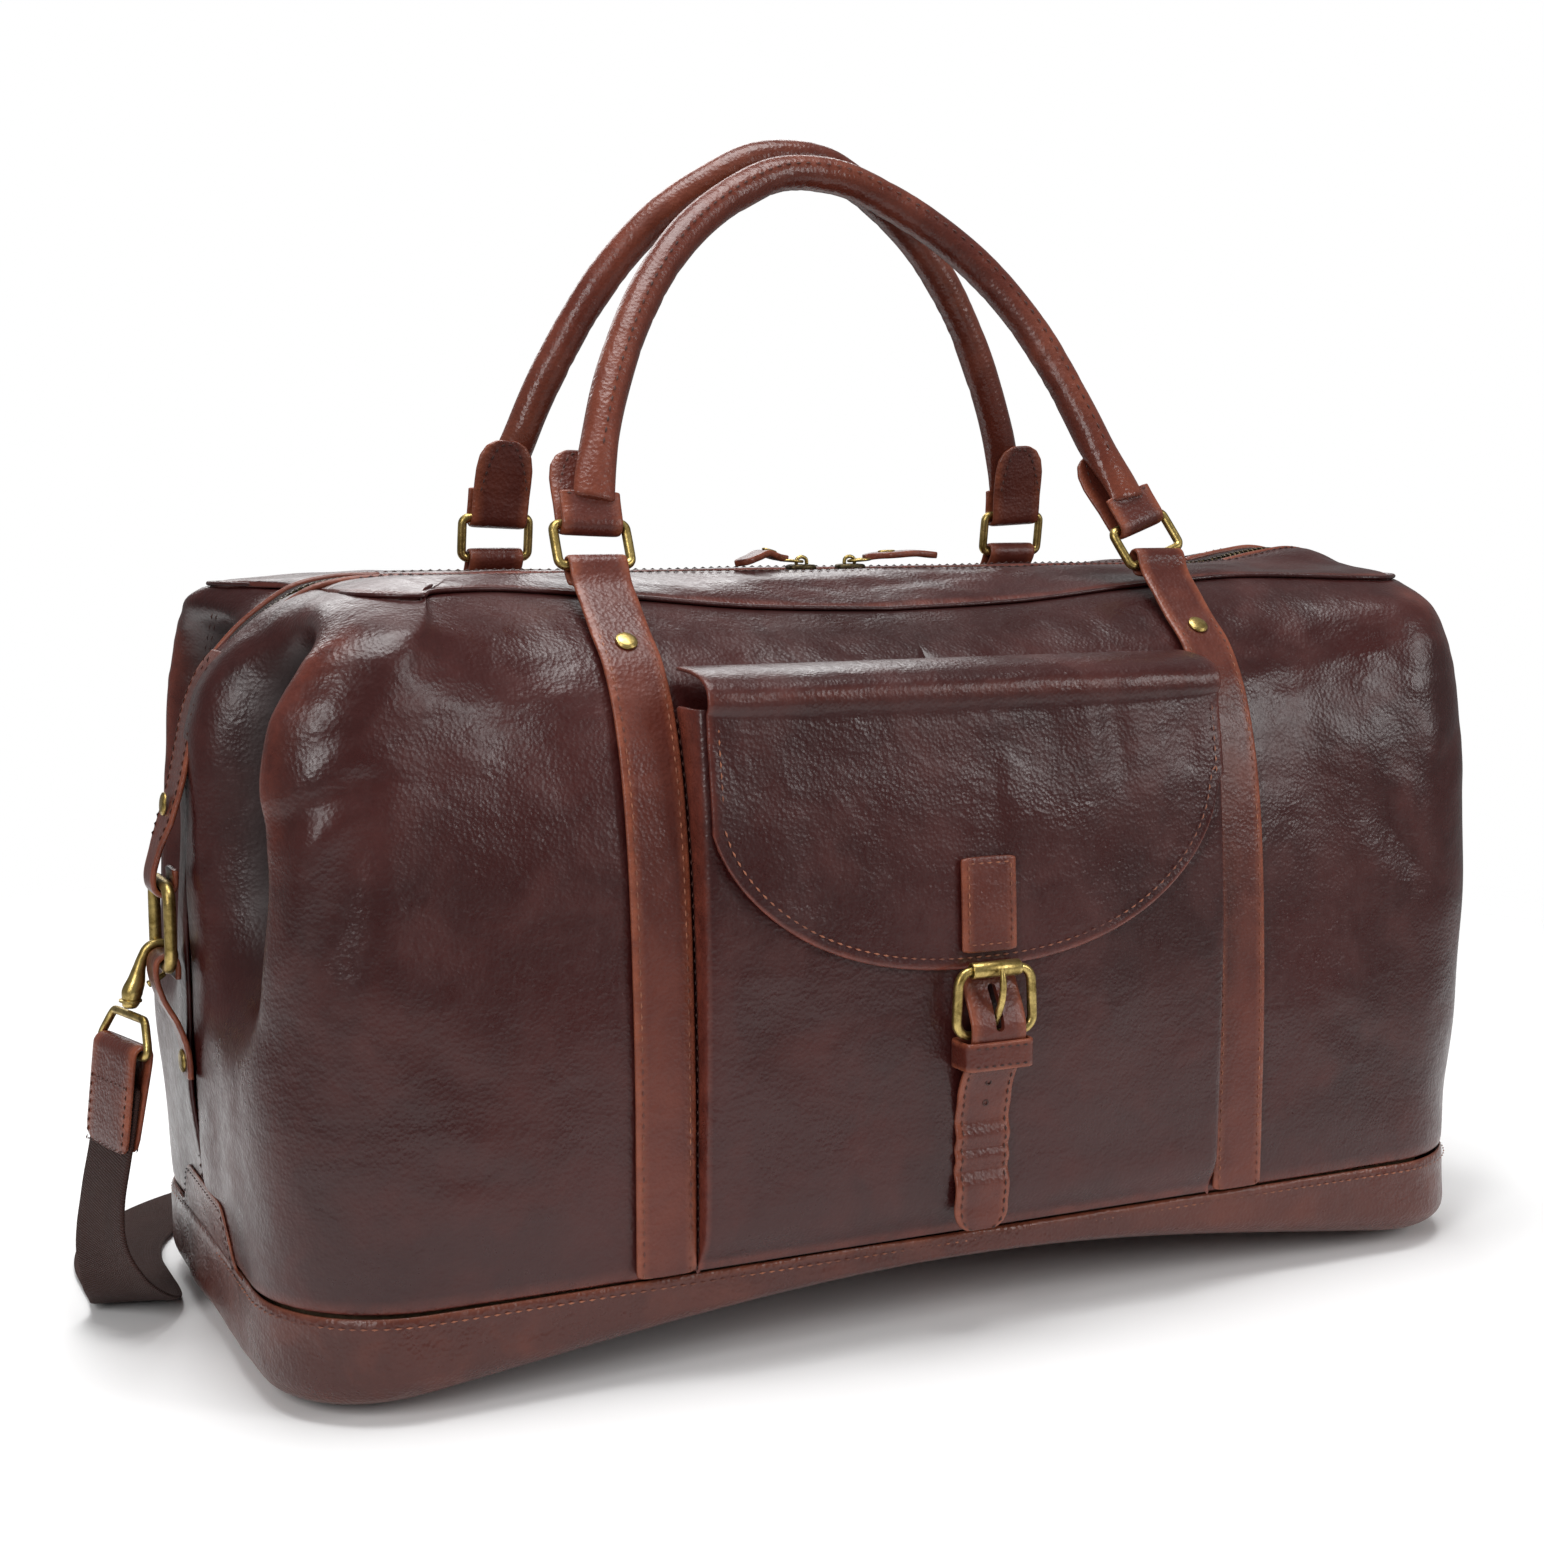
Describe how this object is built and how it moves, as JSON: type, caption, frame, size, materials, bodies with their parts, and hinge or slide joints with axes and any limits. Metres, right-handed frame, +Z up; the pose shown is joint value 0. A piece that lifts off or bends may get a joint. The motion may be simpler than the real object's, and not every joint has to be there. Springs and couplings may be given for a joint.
{
  "type": "weekender bag",
  "caption": "Leather weekender bag with a zipped top, two rolled handles on metal rings, a flapped front pocket with a roller buckle, and a clip-on shoulder strap.",
  "frame": {"origin": "middle of the base, on the floor, of the bag without its shoulder strap", "axes": "+X along the bag, -Y towards the pocket, +Z up"},
  "size_m": [0.6622, 0.3728, 0.5018],
  "materials": {
    "oxblood_leather": "polished, creased, dark oxblood",
    "russet_leather": "waxed, worn at the edges, red-brown",
    "antique_brass": "antique brass, satin",
    "zip_tape": "woven dark brown tape",
    "stiffener_board": "dark board",
    "lining_cloth": "plain woven lining",
    "strap_webbing": "dark brown ribbed webbing"
  },
  "bodies": {
    "bag": {"back_panel": "oxblood_leather", "base_board": "stiffener_board", "base_tray": "russet_leather", "billet_tail": "russet_leather", "buckle_frame": "antique_brass", "end_ring_left": "antique_brass", "end_ring_right": "antique_brass", "end_rivet_left": "antique_brass", "end_rivet_right": "antique_brass", "end_strap_left": "russet_leather", "end_strap_right": "russet_leather", "end_stud_left": "antique_brass", "end_stud_right": "antique_brass", "end_tab_left": "russet_leather", "end_tab_right": "russet_leather", "front_panel": "oxblood_leather", "handle_strap_back_left": "russet_leather", "handle_strap_back_right": "russet_leather", "handle_strap_front_left": "russet_leather", "handle_strap_front_right": "russet_leather", "keeper_loop": "russet_leather", "lining": "lining_cloth", "pocket": "oxblood_leather", "snap_hook_left": "antique_brass", "snap_hook_right": "antique_brass", "strap_adjuster": "antique_brass", "strap_end_left": "russet_leather", "strap_end_right": "russet_leather", "strap_loop_left": "antique_brass", "strap_loop_right": "antique_brass", "strap_rivet_back_left": "antique_brass", "strap_rivet_back_right": "antique_brass", "strap_rivet_front_left": "antique_brass", "strap_rivet_front_right": "antique_brass", "strap_webbing": "strap_webbing", "top_gusset_back": "oxblood_leather", "top_gusset_front": "oxblood_leather", "zip_tape_back": "zip_tape", "zip_tape_front": "zip_tape", "zip_teeth": "antique_brass"},
    "ring_front_left": {"handle_ring_front_left": "antique_brass"},
    "ring_front_right": {"handle_ring_front_right": "antique_brass"},
    "ring_back_left": {"handle_ring_back_left": "antique_brass"},
    "ring_back_right": {"handle_ring_back_right": "antique_brass"},
    "handle_front": {"handle_front": "russet_leather"},
    "handle_back": {"handle_back": "russet_leather"},
    "flap": {"pocket_flap": "oxblood_leather", "flap_billet": "russet_leather"},
    "prong": {"buckle_prong": "antique_brass"},
    "roller": {"buckle_roller": "antique_brass"},
    "slider_left": {"zip_slider_left": "antique_brass", "zip_bridge_left": "antique_brass"},
    "slider_right": {"zip_slider_right": "antique_brass", "zip_bridge_right": "antique_brass"},
    "pull_left": {"zip_pull_left": "russet_leather"},
    "pull_right": {"zip_pull_right": "russet_leather"},
    "gate_left": {"snap_gate_left": "antique_brass"},
    "gate_right": {"snap_gate_right": "antique_brass"}
  },
  "joints": [
    {"name": "front_ring_fold", "type": "hinge", "parent": "bag", "child": "ring_front_left", "pos_m": [-0.134, -0.0635, 0.3145], "axis": [1, 0, 0], "range_deg": [0, 60]},
    {"name": "front_ring_fold_right", "type": "hinge", "parent": "bag", "child": "ring_front_right", "pos_m": [0.134, -0.0635, 0.3145], "axis": [1, 0, 0], "range_deg": [0, 60]},
    {"name": "front_handle_fold", "type": "hinge", "parent": "ring_front_left", "child": "handle_front", "pos_m": [0, -0.05572, 0.33073], "axis": [1, 0, 0], "range_deg": [0, 25]},
    {"name": "back_ring_fold", "type": "hinge", "parent": "bag", "child": "ring_back_left", "pos_m": [-0.134, 0.0635, 0.3145], "axis": [-1, 0, 0], "range_deg": [0, 85]},
    {"name": "back_ring_fold_right", "type": "hinge", "parent": "bag", "child": "ring_back_right", "pos_m": [0.134, 0.0635, 0.3145], "axis": [-1, 0, 0], "range_deg": [0, 85]},
    {"name": "back_handle_fold", "type": "hinge", "parent": "ring_back_left", "child": "handle_back", "pos_m": [0, 0.06081, 0.3323], "axis": [-1, 0, 0], "range_deg": [0, 45]},
    {"name": "flap_open", "type": "hinge", "parent": "bag", "child": "flap", "pos_m": [0, -0.1035, 0.2745], "axis": [-1, 0, 0], "range_deg": [0, 85]},
    {"name": "prong_lift", "type": "hinge", "parent": "bag", "child": "prong", "pos_m": [0, -0.1515, 0.1295], "axis": [1, 0, 0], "range_deg": [0, 40]},
    {"name": "roller_turn", "type": "hinge", "parent": "bag", "child": "roller", "pos_m": [0, -0.1515, 0.1555], "axis": [1, 0, 0], "continuous": true},
    {"name": "zip_slide_left", "type": "slide", "parent": "bag", "child": "slider_left", "axis": [-1, 0, 0], "range_m": [0, 0.16]},
    {"name": "zip_slide_right", "type": "slide", "parent": "bag", "child": "slider_right", "axis": [1, 0, 0], "range_m": [0, 0.16]},
    {"name": "pull_lift_left", "type": "hinge", "parent": "slider_left", "child": "pull_left", "pos_m": [-0.0182, 0, 0.3137], "axis": [0, 1, 0], "range_deg": [0, 110]},
    {"name": "pull_lift_right", "type": "hinge", "parent": "slider_right", "child": "pull_right", "pos_m": [0.0182, 0, 0.3137], "axis": [0, -1, 0], "range_deg": [0, 110]},
    {"name": "gate_left_open", "type": "hinge", "parent": "bag", "child": "gate_left", "pos_m": [-0.3012, 0.0112, 0.145], "axis": [0, -1, 0], "range_deg": [0, 16], "stiffness_Nm_per_rad": 0.002},
    {"name": "gate_right_open", "type": "hinge", "parent": "bag", "child": "gate_right", "pos_m": [0.3012, 0.0112, 0.145], "axis": [0, 1, 0], "range_deg": [0, 16], "stiffness_Nm_per_rad": 0.002}
  ],
  "couplings": [
    {"joint": "front_ring_fold_right", "follows": "front_ring_fold", "ratio": 1},
    {"joint": "back_ring_fold_right", "follows": "back_ring_fold", "ratio": 1}
  ]
}
